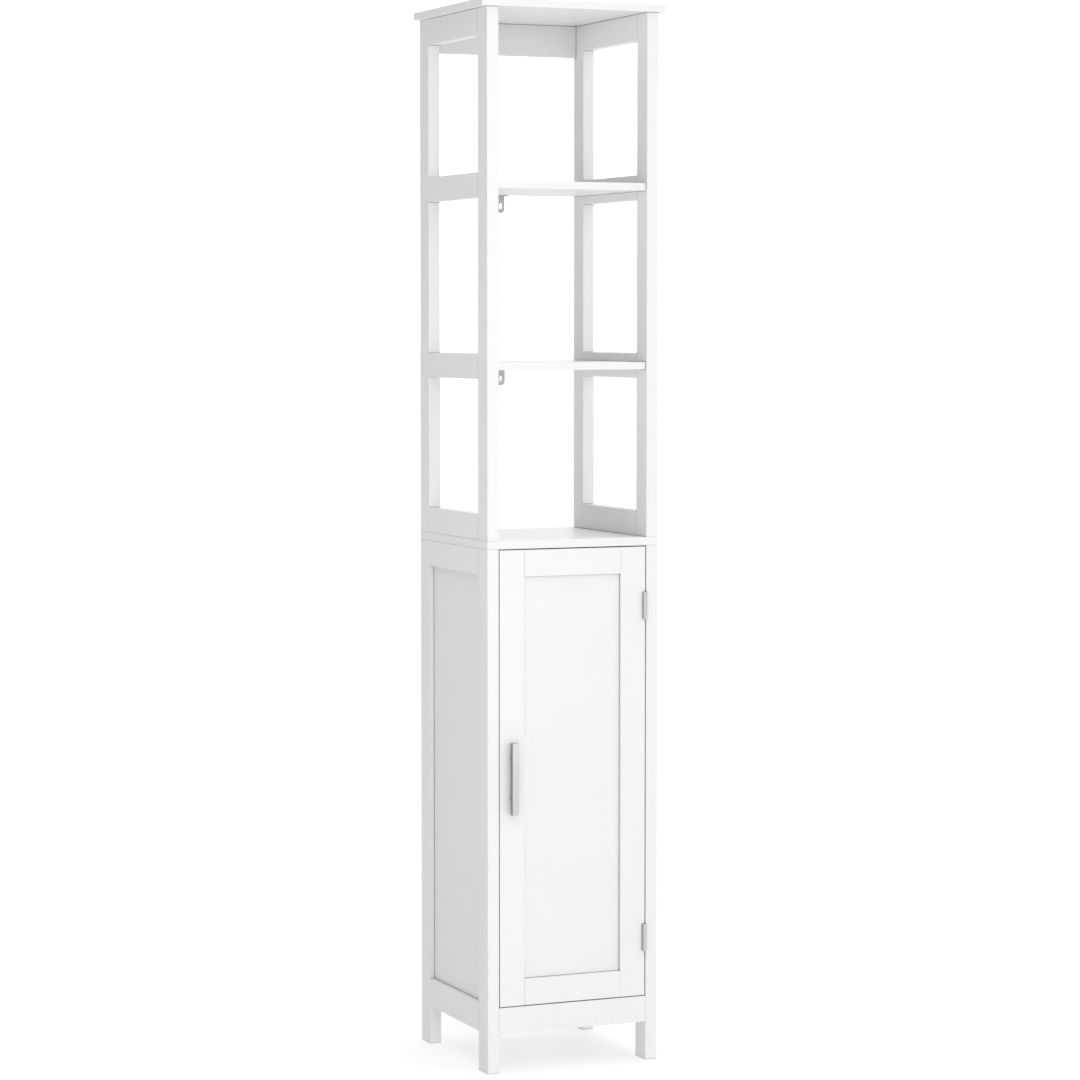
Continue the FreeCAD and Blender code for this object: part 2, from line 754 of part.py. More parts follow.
def door_frame():
    """Two full-height stiles and two rails between them, doweled at the corners."""
    extent = ("door_stile_width", "door_thickness", f"({DOOR_TOP} - {DOOR_BOTTOM})")
    board("door_stile_latch", (DOOR_LEFT, FRONT, DOOR_BOTTOM), extent, "z")
    board("door_stile_hinge", (PANEL_RIGHT, FRONT, DOOR_BOTTOM), extent, "z")
    for level, bottom in (("bottom", DOOR_BOTTOM), ("top", f"({DOOR_TOP} - door_rail_height)")):
        name = f"door_rail_{level}"
        extent = (f"({PANEL_RIGHT} - {PANEL_LEFT})", "door_thickness", "door_rail_height")
        board(name, (PANEL_LEFT, FRONT, bottom), extent, "x")
        for stile, x in zip(STILES, (PANEL_LEFT, PANEL_RIGHT)):
            centre = (x, f"({FRONT} + door_thickness / 2)", f"({bottom} + door_rail_height / 2)")
            dowel_pair("door_dowels", [name, stile], centre, "x",
                       "thin_dowel_diameter", "thin_dowel_length")


def door_panel():
    """The thin panel in a groove round the inside of the door frame."""
    bottom = f"({DOOR_BOTTOM} + door_rail_height)"
    top = f"({DOOR_TOP} - door_rail_height)"
    corner = (
        f"({PANEL_LEFT} - groove_depth)",
        f"({FRONT} + door_panel_recess)",
        f"({bottom} - groove_depth)",
    )
    extent = (
        f"({PANEL_RIGHT} - {PANEL_LEFT} + 2 * groove_depth)",
        "door_panel_thickness",
        f"({top} - {bottom} + 2 * groove_depth)",
    )
    board("door_panel", corner, extent)
    groove = roomy_block("door_panel_groove", corner, extent, "groove_clearance")
    cut([*STILES, "door_rail_bottom", "door_rail_top"], groove)


door_frame()
door_panel()

# ---------------------------------------------------------------- handle

HANDLE_X = f"({DOOR_LEFT} + door_stile_width / 2)"
HANDLE_Z = f"({DOOR_BOTTOM} + handle_rise)"


def handle_bar():
    """The square bar: a padded section with a small bevel on every edge."""
    body = sketched_body("handle_bar")

    def section(sketch):
        rectangle(sketch, "-handle_width / 2", "-handle_depth", "handle_width", "handle_depth")

    pad(body, "handle_bar_pad", "XY_Plane", section, "handle_length", SideType="Symmetric")
    dress(body, "Chamfer", "handle_bar_bevel", "Size", "handle_edge")
    place(body, (HANDLE_X, f"({FRONT} - handle_gap)", HANDLE_Z))


def handle_fixing(number, z):
    """A short post behind the bar, and the screw through the door and post into it."""
    name = f"handle_screw_{number}"
    seat = (HANDLE_X, DOOR_REAR, z)
    length = "(door_thickness + handle_gap + handle_screw_bite)"
    shank = rod(name + "_shank", seat, "-y", "handle_screw_diameter", length)
    head = rod(name + "_head", seat, "+y", "handle_screw_head", "handle_screw_head_height")
    add("handle_screws", joined(name, [shank, head]))
    hole = rod(name + "_hole", seat, "-y", "handle_screw_diameter + 2 * screw_clearance",
               f"{length} + hole_slack")
    cut(["door_stile_latch", "handle_bar"], hole)
    post = rod(f"handle_post_{number}_blank", (HANDLE_X, FRONT, z), "-y",
               "handle_post_diameter", "handle_gap")
    add("handle_posts", less(f"handle_post_{number}", post, hole))


handle_bar()
for number, sign in enumerate("-+", start=1):
    handle_fixing(number, f"({HANDLE_Z} {sign} handle_post_spacing / 2)")

# ---------------------------------------------------------------- hinges

AXIS_X = f"({INNER_RIGHT} - hinge_axis_inset)"
AXIS_Y = f"({FRONT} - hinge_axis_reach)"
LEAF_REACH = f"({FRONT} + leaf_depth - {AXIS_Y})"
THIRD = "(hinge_height / 3)"


def frame_leaf(name, bottom, bore):
    """The leaf on the post: a plate and a barrel, notched for the door's knuckle."""
    plate = block(name + "_plate", (f"({INNER_RIGHT} - leaf_thickness)", AXIS_Y, bottom),
                  ("leaf_thickness", LEAF_REACH, "hinge_height"))
    barrel = rod(name + "_barrel", (AXIS_X, AXIS_Y, bottom), "+z", "knuckle_diameter", "hinge_height")
    blanks[name] = joined(name + "_blank", [plate, barrel])
    notch = block(
        name + "_notch",
        (f"({AXIS_X} - knuckle_diameter)", f"({AXIS_Y} - knuckle_diameter)",
         f"({bottom} + {THIRD} - knuckle_clearance / 2)"),
        ("2 * knuckle_diameter + hinge_axis_inset",
         "knuckle_diameter + hinge_axis_reach + hinge_notch", f"{THIRD} + knuckle_clearance"),
    )
    cut([name], notch)
    cut([name], bore)


def door_leaf(name, bottom, bore):
    """The leaf on the door's edge: a plate, and a web that carries the middle knuckle."""
    middle = f"({bottom} + {THIRD} + knuckle_clearance / 2)"
    length = f"({THIRD} - knuckle_clearance)"
    plate = block(name + "_plate", (DOOR_RIGHT, f"({FRONT} + hinge_notch)", bottom),
                  ("leaf_thickness", "leaf_depth - hinge_notch", "hinge_height"))
    web = block(name + "_web", (DOOR_RIGHT, AXIS_Y, middle), ("leaf_thickness", LEAF_REACH, length))
    knuckle = rod(name + "_knuckle", (AXIS_X, AXIS_Y, middle), "+z", "knuckle_diameter", length)
    blanks[name] = joined(name + "_blank", [plate, web, knuckle])
    cut([name], bore)


def hinge(level, middle):
    """A butt hinge: its two leaves, its pin, and two screws in each leaf."""
    bottom = f"({middle} - hinge_height / 2)"
    bore = rod(f"hinge_{level}_bore", (AXIS_X, AXIS_Y, f"({bottom} - hole_slack)"), "+z",
               "pin_diameter + 2 * pin_clearance", "hinge_height + 2 * hole_slack")
    frame_leaf(f"hinge_{level}_frame_leaf", bottom, bore)
    door_leaf(f"hinge_{level}_door_leaf", bottom, bore)
    pin = rod(f"hinge_{level}_pin", (AXIS_X, AXIS_Y, bottom), "+z", "pin_diameter", "hinge_height")
    add("hinge_pins", pin)
    y = f"({FRONT} + (leaf_depth + hinge_notch) / 2)"
    for sign in "-+":
        z = f"({middle} {sign} leaf_screw_spacing / 2)"
        small_screw("cabinet_screws", [f"hinge_{level}_frame_leaf", "lower_post_front_right"],
                    (f"({INNER_RIGHT} - leaf_thickness)", y, z), "+x")
        small_screw("door_screws", [f"hinge_{level}_door_leaf", "door_stile_hinge"],
                    (f"({DOOR_RIGHT} + leaf_thickness)", y, z), "-x")


hinge("low", f"({DOOR_BOTTOM} + hinge_end_distance)")
hinge("high", f"({DOOR_TOP} - hinge_end_distance)")

# ---------------------------------------------------------------- magnetic catch

CATCH_X = f"({INNER_LEFT} + catch_offset)"
CATCH_Z = "(lower_post_length - catch_height / 2)"
MAGNET_FRONT = f"({DOOR_REAR} + strike_thickness + catch_gap)"
CASE_FRONT = f"({MAGNET_FRONT} + magnet_reach)"


def catch():
    """A magnet in a case, screwed up under the middle board."""
    underside = "(lower_post_length - catch_height)"
    board("catch_case", (f"({CATCH_X} - catch_width / 2)", CASE_FRONT, underside),
          ("catch_width", "catch_depth", "catch_height"), "y")
    corner = (f"({CATCH_X} - magnet_width / 2)", MAGNET_FRONT, f"({CATCH_Z} - magnet_height / 2)")
    extent = ("magnet_width", "magnet_depth", "magnet_height")
    board("catch_magnet", corner, extent)
    socket = roomy_block("catch_magnet_socket", corner, extent, "groove_clearance")
    cut(["catch_case"], socket)
    seat_z = "(lower_post_length + catch_screw_bite - small_screw_length)"
    y = f"({CASE_FRONT} + catch_depth / 2)"
    for number, sign in enumerate("-+", start=1):
        x = f"({CATCH_X} {sign} (catch_width + magnet_width) / 4)"
        small_screw("cabinet_screws", ["catch_case", "middle_board"], (x, y, seat_z), "+z")
        counterbore(f"catch_counterbore_{number}", "catch_case", x, y, underside, seat_z,
                    "small_screw_head")


def strike():
    """The small steel plate on the back of the door that the magnet holds."""
    corner = (f"({CATCH_X} - strike_width / 2)", DOOR_REAR, f"({CATCH_Z} - strike_height / 2)")
    board("strike_plate", corner, ("strike_width", "strike_thickness", "strike_height"))
    seat = (CATCH_X, f"({DOOR_REAR} + strike_thickness)", CATCH_Z)
    small_screw("door_screws", ["strike_plate", "door_stile_latch"], seat, "-y")


catch()
strike()

# ---------------------------------------------------------------- wall brackets


def wall_bracket(name, shelf, underside):
    """An angle bracket: its foot under a shelf, its slotted leg against the wall."""
    body = sketched_body(name)

    def leg(sketch):
        tongue(sketch, "bracket_width", "bracket_leg")
        slot(sketch, "bracket_slot_width", "bracket_slot_length", "bracket_slot_drop")

    def foot(sketch):
        rectangle(sketch, "-bracket_width / 2", "-bracket_foot", "bracket_width", "bracket_foot")

    pad(body, name + "_leg", "XZ_Plane", leg, "bracket_thickness")
    pad(body, name + "_foot", "XY_Plane", foot, "bracket_thickness", Reversed=True)
    place(body, ("-bracket_offset", REAR, underside))
    seat = ("-bracket_offset", f"({REAR} - bracket_screw_reach)", f"({underside} - bracket_thickness)")
    small_screw("bracket_screws", [name, shelf], seat, "+z", "bracket_screw_length")


wall_bracket("wall_bracket_low", "low_shelf", LOW_SHELF)
wall_bracket("wall_bracket_high", "high_shelf", HIGH_SHELF)

# ---------------------------------------------------------------- finished pieces

nodes = []
for name, blank in blanks.items():
    if name in cutters:
        blank = less(name, blank, compound(name + "_cuts", cutters[name]))
    blank.Label = name
    nodes.append(blank)
for name, solids in groups.items():
    group = compound(name, solids)
    group.Label = name
    nodes.append(group)
doc.recompute()

for obj in doc.Objects:
    if "Invalid" in obj.State or "Error" in obj.State:
        raise RuntimeError(f"{obj.Name} failed: {obj.State}")
for node in nodes:
    if node.Shape.isNull() or not node.Shape.isValid():
        raise RuntimeError(f"{node.Label} has no valid shape")

os.makedirs("parts", exist_ok=True)
for node in nodes:
    node.Shape.exportStep(f"parts/{node.Label}.step")
print(f"{len(nodes)} nodes, {sum(len(node.Shape.Solids) for node in nodes)} solids")
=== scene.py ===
# %% [markdown]
# # A tall bathroom cabinet
# The cabinet is a painted cupboard with one door, and an open rack standing on it. Its
# boards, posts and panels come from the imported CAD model, which is loaded here as a fixed
# frame. This lesson gives that frame its finishes, and makes the small turned and ribbed
# parts (screws, dowels, pins, the handle) as surfaces worked out with numpy.

# %% The frame
import math

import bmesh
import bpy
import numpy as np
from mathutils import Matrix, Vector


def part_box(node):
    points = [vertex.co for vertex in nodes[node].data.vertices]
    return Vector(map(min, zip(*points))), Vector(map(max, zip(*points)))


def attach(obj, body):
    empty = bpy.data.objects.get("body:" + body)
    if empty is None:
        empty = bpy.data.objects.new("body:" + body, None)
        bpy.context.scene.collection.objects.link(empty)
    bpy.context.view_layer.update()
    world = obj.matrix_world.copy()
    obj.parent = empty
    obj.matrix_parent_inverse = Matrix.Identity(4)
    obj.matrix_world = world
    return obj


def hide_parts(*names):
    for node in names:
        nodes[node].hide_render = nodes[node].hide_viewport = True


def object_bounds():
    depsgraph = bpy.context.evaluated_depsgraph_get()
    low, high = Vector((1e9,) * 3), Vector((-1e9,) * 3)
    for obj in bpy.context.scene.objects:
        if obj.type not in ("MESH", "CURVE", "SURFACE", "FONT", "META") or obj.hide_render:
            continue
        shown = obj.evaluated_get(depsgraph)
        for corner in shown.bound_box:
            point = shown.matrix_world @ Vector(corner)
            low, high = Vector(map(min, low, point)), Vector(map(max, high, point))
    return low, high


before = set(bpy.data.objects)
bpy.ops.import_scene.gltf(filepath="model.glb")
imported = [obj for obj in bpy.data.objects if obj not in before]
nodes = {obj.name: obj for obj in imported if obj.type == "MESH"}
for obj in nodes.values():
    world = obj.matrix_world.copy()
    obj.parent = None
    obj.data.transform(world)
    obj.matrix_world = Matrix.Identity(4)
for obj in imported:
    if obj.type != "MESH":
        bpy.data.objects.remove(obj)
cad_low, cad_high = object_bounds()
print(len(nodes), "nodes, box", tuple(cad_low), tuple(cad_high))

# %% [markdown]
# ## The camera
# A product picture of something this tall is taken from far away with a long lens, so that
# upright edges stay almost parallel. The camera stands to the cabinet's left, a little
# above the middle, and looks slightly down. There is no lens shift: an upright frame that
# is aimed at the middle holds the whole height in any other view too.

# %% Camera
CAMERA_PLACE = (-2.1561, -5.0208, 1.1908)
CAMERA_TURN = math.radians(23.2537)
CAMERA_DIP = math.radians(3.6659)
# The lens and the sensor are in millimetres, and the far clip is in metres.
LENS = 111.897
SENSOR_WIDTH = 36.0
FAR_CLIP = 200.0

camera_data = bpy.data.cameras.new("camera")
camera_data.lens = LENS
camera_data.sensor_width = SENSOR_WIDTH
camera_data.clip_end = FAR_CLIP
camera = bpy.data.objects.new("camera", camera_data)
camera.location = CAMERA_PLACE
camera.rotation_euler = (math.pi / 2 - CAMERA_DIP, 0.0, -CAMERA_TURN)
bpy.context.scene.collection.objects.link(camera)
bpy.context.scene.camera = camera
bpy.context.scene.view_settings.view_transform = "Standard"
print("camera", CAMERA_PLACE, "lens", camera_data.lens)

# %% [markdown]
# ## Shader maths as Python
# Blender's materials are graphs of nodes. Wiring them by hand takes a line per link, so a
# small class wraps a socket and gives it Python's operators: `1 - mask * 0.2` then adds the
# Math nodes by itself. Every other node comes from one method, `node`, that is given the
# node's type, its settings and the values or links of its sockets.


# %% A socket with operators
class Value:
    """An output socket of a node, with arithmetic that adds Math nodes to its tree."""

    def __init__(self, tree, socket):
        self.tree = tree
        self.socket = socket

    def maths(self, operation, *operands):
        return self.tree.node("ShaderNodeMath", {"operation": operation}, *operands)

    def __add__(self, other):
        return self.maths("ADD", self, other)

    def __sub__(self, other):
        return self.maths("SUBTRACT", self, other)

    def __rsub__(self, other):
        return self.maths("SUBTRACT", other, self)

    def __mul__(self, other):
        return self.maths("MULTIPLY", self, other)

    __radd__ = __add__
    __rmul__ = __mul__


# %% [markdown]
# Paint never quite closes the joint between two boards. A hairline stays open, and a little
# dust gathers in it. The Ambient Occlusion node says how much of the space above a point is
# free within a given reach. With a reach of a millimetre or two it answers only in joints and
# corners. There the colour is painted darker: painted shade, and a little dust in the joints.

# %% A tree that makes nodes
JOINT_REACH = 0.0015
JOINT_SAMPLES = 8
# The free share of directions below which a joint is fully dark, and above which not at all.
JOINT_CLOSED = 0.4
JOINT_OPEN = 0.97
# The dark grey that the painted shade reaches in joints and inner corners.
PAINTED_SHADE_GREY = 0.04


def grey(level):
    return (level, level, level, 1.0)


class Tree:
    """A material's or a world's nodes, made one by one with a single method."""

    def __init__(self, owner):
        owner.use_nodes = True
        self.nodes = owner.node_tree.nodes
        self.links = owner.node_tree.links
        self.nodes.clear()

    def connect(self, value, socket):
        if isinstance(value, Value):
            self.links.new(value.socket, socket)
        else:
            socket.default_value = value

    def node(self, kind, settings=None, *inputs, output=0, **named):
        """Add a node: its settings first, then its sockets by place or by name."""
        made = self.nodes.new(kind)
        for setting, value in (settings or {}).items():
            setattr(made, setting, value)
        for socket, value in zip(made.inputs, inputs):
            self.connect(value, socket)
        for name, value in named.items():
            self.connect(value, made.inputs[name.replace("_", " ")])
        return Value(self, made.outputs[output]) if made.outputs else None

    def place(self):
        """The point's own coordinates, in metres."""
        return self.node("ShaderNodeTexCoord", output="Object")

    def stretched(self, scale):
        """The point's coordinates times a factor along each axis: under 1 lengthens a pattern."""
        return self.node("ShaderNodeMapping", None, Vector=self.place(), Scale=scale)

    def noise(self, point, scale, detail=2.0):
        """Smooth noise between about 0 and 1, whose patches are 1 over the scale in metres."""
        return self.node("ShaderNodeTexNoise", None, Vector=point, Scale=scale, Detail=detail)

    def blend(self, factor, first, second):
        """The first colour times 1 - factor, plus the second colour times factor."""
        settings = {"data_type": "RGBA"}
        mix = self.node("ShaderNodeMix", settings, factor, output="Result")
        sockets = mix.socket.node.inputs
        self.connect(first, next(s for s in sockets if s.name == "A" and s.type == "RGBA"))
        self.connect(second, next(s for s in sockets if s.name == "B" and s.type == "RGBA"))
        outputs = mix.socket.node.outputs
        return Value(self, next(s for s in outputs if s.type == "RGBA"))

    def ramp(self, factor, low, high):
        """0 below the low value, 1 above the high one, and a smooth step between them."""
        settings = {"interpolation_type": "SMOOTHSTEP"}
        return self.node("ShaderNodeMapRange", settings, Value=factor, From_Min=low, From_Max=high)

    def bump(self, height, depth):
        """A normal tilted by a height field whose full range is a depth in metres."""
        return self.node("ShaderNodeBump", None, Height=height, Distance=depth, Strength=1.0)

    def painted_shade_in_joints(self, colour):
        """A colour with painted shade: it goes dark where nearby surfaces block some of the
        directions.

        The painted shade is 1 less a smooth step of the free share, and blends the colour with dark
        grey.
        """
        settings = {"samples": JOINT_SAMPLES}
        # Painted shade: joints and inner corners turn towards dark grey, for their shade and a
        # little dust.
        free = self.node("ShaderNodeAmbientOcclusion", settings, Distance=JOINT_REACH, output="AO")
        shade = 1 - self.ramp(free, JOINT_CLOSED, JOINT_OPEN)
        return self.blend(shade, colour, grey(PAINTED_SHADE_GREY))


# %% [markdown]
# ## Light
# The picture is a bright white studio with no hard shadow. The sky is a dim even field with
# a few wide soft lobes on it, as large softboxes would be: one behind the cabinet, where the
# camera looks, which keeps the background white, one above and behind it on the right, one
# in front on the right and one overhead. None is on the left, so the left faces read a soft
# grey.

# %% Sky
SKY_BASE = 0.24
# For each lobe: azimuth (0 is behind the cabinet, 90 on its right) and elevation in
# degrees, the cosines of the angles where it begins and where it is full, its strength.
SKY_LOBES = {
    "behind": (23.0, -4.0, 0.85, 0.965, 1.15),
    "behind, high right": (45.0, 40.0, 0.55, 1.0, 0.48),
    "front right": (157.5, 0.0, 0.55, 1.0, 1.46),
    "overhead": (0.0, 90.0, 0.30, 1.0, 1.08),
}

world = bpy.data.worlds.new("studio")
bpy.context.scene.world = world
sky = Tree(world)
direction = sky.node("ShaderNodeTexCoord", output="Generated")
light = SKY_BASE
for azimuth, elevation, begins, full, strength in SKY_LOBES.values():
    turn, rise = math.radians(azimuth), math.radians(elevation)
    aim = (math.sin(turn) * math.cos(rise), math.cos(turn) * math.cos(rise), math.sin(rise))
    cosine = sky.node("ShaderNodeVectorMath", {"operation": "DOT_PRODUCT"}, direction, aim,
                      output="Value")
    light = sky.ramp(cosine, begins, full) * strength + light
background = sky.node("ShaderNodeBackground", None, grey(1.0), light)
sky.node("ShaderNodeOutputWorld", None, background)
print("sky base", SKY_BASE, "and lobes", list(SKY_LOBES))

# %% [markdown]
# The sky is infinitely far, so it lights every part of a face alike. On the real cabinet
# the door's tone fades from left to right and the side's from front to rear, as beside a
# light that stands near. So there are two lamps at the front left: a near one, taller than
# the cabinet, and a square one further off and above, which reaches into the rack's bays.


# %% Lamps
def soft_lamp(name, turn, rise, distance, width, height, strength):
    """A box of light that looks at the cabinet's middle, turned and raised by degrees.

    Its power is the strength times the square of pi times the distance, so that the middle
    gets about the same light however far away the lamp stands.
    """
    turn, rise = math.radians(turn), math.radians(rise)
    data = bpy.data.lights.new(name, "AREA")
    data.shape = "RECTANGLE"
    data.size, data.size_y = width, height
    data.energy = strength * math.pi ** 2 * distance ** 2
    away = np.array([math.sin(turn) * math.cos(rise), -math.cos(turn) * math.cos(rise),
                     math.sin(rise)])
    middle = np.array([0.0, 0.0, cad_high[2] / 2])
    lamp = bpy.data.objects.new(name, data)
    lamp.location = middle + away * distance
    lamp.rotation_euler = (math.pi / 2 - rise, 0.0, turn)
    lamp.visible_camera = False
    bpy.context.scene.collection.objects.link(lamp)
    print(name, "at", [round(float(x), 2) for x in lamp.location], "power", round(data.energy, 1))


soft_lamp("tall_lamp", turn=-28.0, rise=0.0, distance=1.3, width=0.5, height=2.4, strength=0.235)
soft_lamp("bay_lamp", turn=-40.0, rise=35.0, distance=1.8, width=0.9, height=0.9, strength=0.06)

# %% [markdown]
# ## Finishes
# Each finish has the detail that the real one shows, at its real size. All of them read
# Object coordinates, which here are the cabinet's own metres, so a pattern runs on across
# neighbouring pieces just as a sprayed coat of paint does.


# %% A finish from its parts
def finish(name, build):
    """A material whose surface is made by a function that is given the tree."""
    material = bpy.data.materials.new(name)
    tree = Tree(material)
    surface = tree.node("ShaderNodeBsdfPrincipled", None, **build(tree))
    tree.node("ShaderNodeOutputMaterial", None, surface)
    print(name, "made of", len(tree.nodes), "shader nodes")
    return material


# %% [markdown]
# White satin paint on smooth board has no grain. What shows close up is the fine stipple
# that a sprayed coat keeps as it dries, a slow drift of tone over a hand's width, and small
# patches that dried slightly glossier. White pigment near the surface keeps the shine low.


# %% Satin paint
PAINT_SHINE = 0.25


def satin_paint(tree):
    point = tree.place()
    drift = tree.noise(point, 14.0)
    patches = tree.noise(point, 160.0, 3.0)
    stipple = tree.noise(point, 850.0)
    ripple = tree.noise(point, 260.0)
    tone = drift * 0.7 + patches * 0.3
    white = tree.blend(tone, (0.755, 0.755, 0.752, 1.0), (0.785, 0.785, 0.783, 1.0))
    return {
        # Painted shade in joints and inner corners.
        "Base Color": tree.painted_shade_in_joints(white),
        "Specular IOR Level": PAINT_SHINE,
        "Roughness": patches * 0.10 + stipple * 0.05 + 0.31,
        "Normal": tree.bump(stipple * 0.7 + ripple * 0.3, 0.00003),
    }


paint = finish("satin_white_paint", satin_paint)


# %% [markdown]
# A thin sheet board, as in the door and in the side frames, takes paint a little more
# evenly than a solid board and keeps a slightly duller face. The inner shelf, the bottom
# board and the back panel have a melamine facing, with a faint pebble pressed into it.


# %% Panel paint and board facing
def panel_paint(tree):
    point = tree.place()
    drift = tree.noise(point, 9.0)
    stipple = tree.noise(point, 700.0)
    white = tree.blend(drift, (0.75, 0.75, 0.747, 1.0), (0.775, 0.775, 0.773, 1.0))
    return {
        # Painted shade in joints and inner corners.
        "Base Color": tree.painted_shade_in_joints(white),
        "Specular IOR Level": PAINT_SHINE,
        "Roughness": stipple * 0.08 + 0.40,
        "Normal": tree.bump(stipple, 0.000025),
    }


def board_facing(tree):
    point = tree.place()
    pebble = tree.node("ShaderNodeTexVoronoi", {"feature": "SMOOTH_F1"}, Vector=point, Scale=900.0)
    drift = tree.noise(point, 25.0)
    white = tree.blend(drift, (0.745, 0.745, 0.738, 1.0), (0.775, 0.775, 0.77, 1.0))
    return {
        # Painted shade in joints and inner corners.
        "Base Color": tree.painted_shade_in_joints(white),
        "Specular IOR Level": PAINT_SHINE,
        "Roughness": drift * 0.06 + 0.46,
        "Normal": tree.bump(pebble, 0.00003),
    }


sheet_paint = finish("panel_paint", panel_paint)
facing = finish("board_facing", board_facing)


# %% [markdown]
# Dowels are turned from pale beech and left bare. Beech shows short dark flecks along the
# grain, so the noise is stretched many times along the dowel's own length. The dowels lie
# along x, y or z, and each direction gets its own stretch.


# %% Bare beech
ALONG_GRAIN = 0.06


def beech_along(axis):
    """Beech whose grain runs along an axis: a small factor there draws the noise out."""
    factors = [1.0, 1.0, 1.0]
    factors["xyz".index(axis)] = ALONG_GRAIN

    def beech(tree):
        point = tree.stretched(factors)
        grain = tree.noise(point, 420.0, 4.0)
        flecks = tree.ramp(tree.noise(point, 1500.0), 0.56, 0.68)
        wood = tree.blend(grain, (0.66, 0.49, 0.32, 1.0), (0.82, 0.67, 0.48, 1.0))
        return {
            "Base Color": tree.blend(flecks * 0.55, wood, (0.42, 0.27, 0.15, 1.0)),
            "Roughness": grain * 0.15 + 0.62,
            "Normal": tree.bump(grain, 0.00006),
        }

    return finish("bare_beech_" + axis, beech)


beech = {axis: beech_along(axis) for axis in "xyz"}


# %% [markdown]
# The handle is drawn bar with a satin brushed face: hair-fine scratches that run its whole
# length. Only the face has the brushed tone. The sides are painted a darker grey, as painted
# shade, so the bar reads as two tones. The finish tells them apart by how deep a point lies
# behind the face. The hinges and the brackets are stamped sheet. Nickel is a little warmer
# and smoother, and zinc plate is cooler, with the small cloudy spangle that plating leaves.


# %% Metals
BAR_ROUNDING = 0.0005


def brushed_bar(tree):
    hairs = tree.noise(tree.stretched((1.0, 1.0, 0.012)), 2600.0, 3.0)
    bands = tree.noise(tree.stretched((1.0, 1.0, 0.05)), 500.0)
    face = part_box("handle_bar")[0][1]
    depth = tree.node("ShaderNodeSeparateXYZ", None, tree.place(), output="Y")
    # Painted shade: the sides behind the face get a darker grey than the brushed face.
    side = tree.ramp(depth, face + BAR_ROUNDING * 0.2, face + BAR_ROUNDING)
    brushed = tree.blend(hairs * 0.6 + bands * 0.4, grey(0.53), grey(0.63))
    painted_side_shade = tree.blend(bands, grey(0.28), grey(0.36))
    return {
        "Base Color": tree.blend(side, brushed, painted_side_shade),
        "Metallic": 1.0,
        "Roughness": hairs * 0.12 + 0.30,
        "Normal": tree.bump(hairs, 0.000012),
    }


def satin_nickel(tree):
    point = tree.place()
    cloud = tree.noise(point, 240.0, 3.0)
    lines = tree.noise(tree.stretched((1.0, 1.0, 0.04)), 1900.0)
    return {
        "Base Color": tree.blend(cloud, (0.50, 0.498, 0.49, 1.0), (0.59, 0.588, 0.58, 1.0)),
        "Metallic": 1.0,
        "Roughness": lines * 0.12 + 0.28,
        "Normal": tree.bump(lines, 0.00001),
    }


def zinc_plate(tree):
    point = tree.place()
    spangle = tree.node("ShaderNodeTexVoronoi", {"feature": "F1"}, Vector=point, Scale=420.0,
                        output="Color")
    cloud = tree.noise(point, 150.0, 3.0)
    tone = tree.blend(cloud, (0.46, 0.468, 0.475, 1.0), (0.60, 0.608, 0.615, 1.0))
    facet = tree.node("ShaderNodeSeparateColor", None, spangle)
    return {
        "Base Color": tree.blend(facet * 0.25, tone, (0.38, 0.388, 0.40, 1.0)),
        "Metallic": 1.0,
        "Roughness": facet * 0.14 + 0.34,
        "Normal": tree.bump(cloud, 0.00001),
    }


bar_metal = finish("brushed_bar_metal", brushed_bar)
nickel = finish("satin_nickel", satin_nickel)
zinc = finish("zinc_plate", zinc_plate)


# %% [markdown]
# The catch's case is moulded plastic: a fine even spark texture from the mould. Its magnet
# is pressed from powder, almost black, with a dull grainy face.


# %% Moulded plastic and magnet
def moulded_plastic(tree):
    sparks = tree.noise(tree.place(), 1600.0, 3.0)
    drift = tree.noise(tree.place(), 60.0)
    return {
        "Base Color": tree.blend(drift, (0.80, 0.80, 0.78, 1.0), (0.84, 0.84, 0.82, 1.0)),
        "Roughness": sparks * 0.12 + 0.38,
        "Normal": tree.bump(sparks, 0.00002),
    }


def pressed_magnet(tree):
    grain = tree.noise(tree.place(), 1900.0, 4.0)
    return {
        "Base Color": tree.blend(grain, (0.05, 0.05, 0.055, 1.0), (0.15, 0.15, 0.155, 1.0)),
        "Metallic": 0.3,
        "Roughness": grain * 0.20 + 0.55,
        "Normal": tree.bump(grain, 0.00004),
    }


plastic = finish("moulded_plastic", moulded_plastic)
magnet = finish("pressed_magnet", pressed_magnet)

# %% [markdown]
# ## Dressing the frame
# Every CAD node keeps its shape and gets its finish through its object's material slots.
# Most are paint, so the others are listed and the rest follow.

# %% A finish for every node
FINISHES = {
    "side_panel_left": sheet_paint,
    "side_panel_right": sheet_paint,
    "door_panel": sheet_paint,
    "back_panel": facing,
    "bottom_board": facing,
    "inner_shelf": facing,
    "handle_posts": bar_metal,
    "hinge_low_frame_leaf": nickel,
    "hinge_low_door_leaf": nickel,
    "hinge_high_frame_leaf": nickel,
    "hinge_high_door_leaf": nickel,
    "wall_bracket_low": zinc,
    "wall_bracket_high": zinc,
    "cam_nuts": zinc,
    "strike_plate": zinc,
    "catch_case": plastic,
    "catch_magnet": magnet,
}


def dress(thing, material):
    """Put one material in all of an object's slots."""
    if not thing.material_slots:
        thing.data.materials.append(material)
    for slot in thing.material_slots:
        slot.material = material


for name, thing in nodes.items():
    dress(thing, FINISHES.get(name, paint))
print(len(FINISHES), "nodes with a finish of their own,", len(nodes) - len(FINISHES), "painted")

# %% [markdown]
# ## Where the small parts are
# Several small parts share one node: all the dowels of the side frames, for example. Each
# separate solid is found from the mesh itself. Points that coincide are merged, every point
# starts with its own number, and each edge passes the lower number on until nothing
# changes. Points with the same number then belong to the same solid.


# %% Separate solids of a node
# Points that agree to this many decimals of a metre are one point.
POINT_DECIMALS = 6
# Points this much nearer to the axis than the furthest one still count as furthest.
RADIUS_TOLERANCE = 1e-5


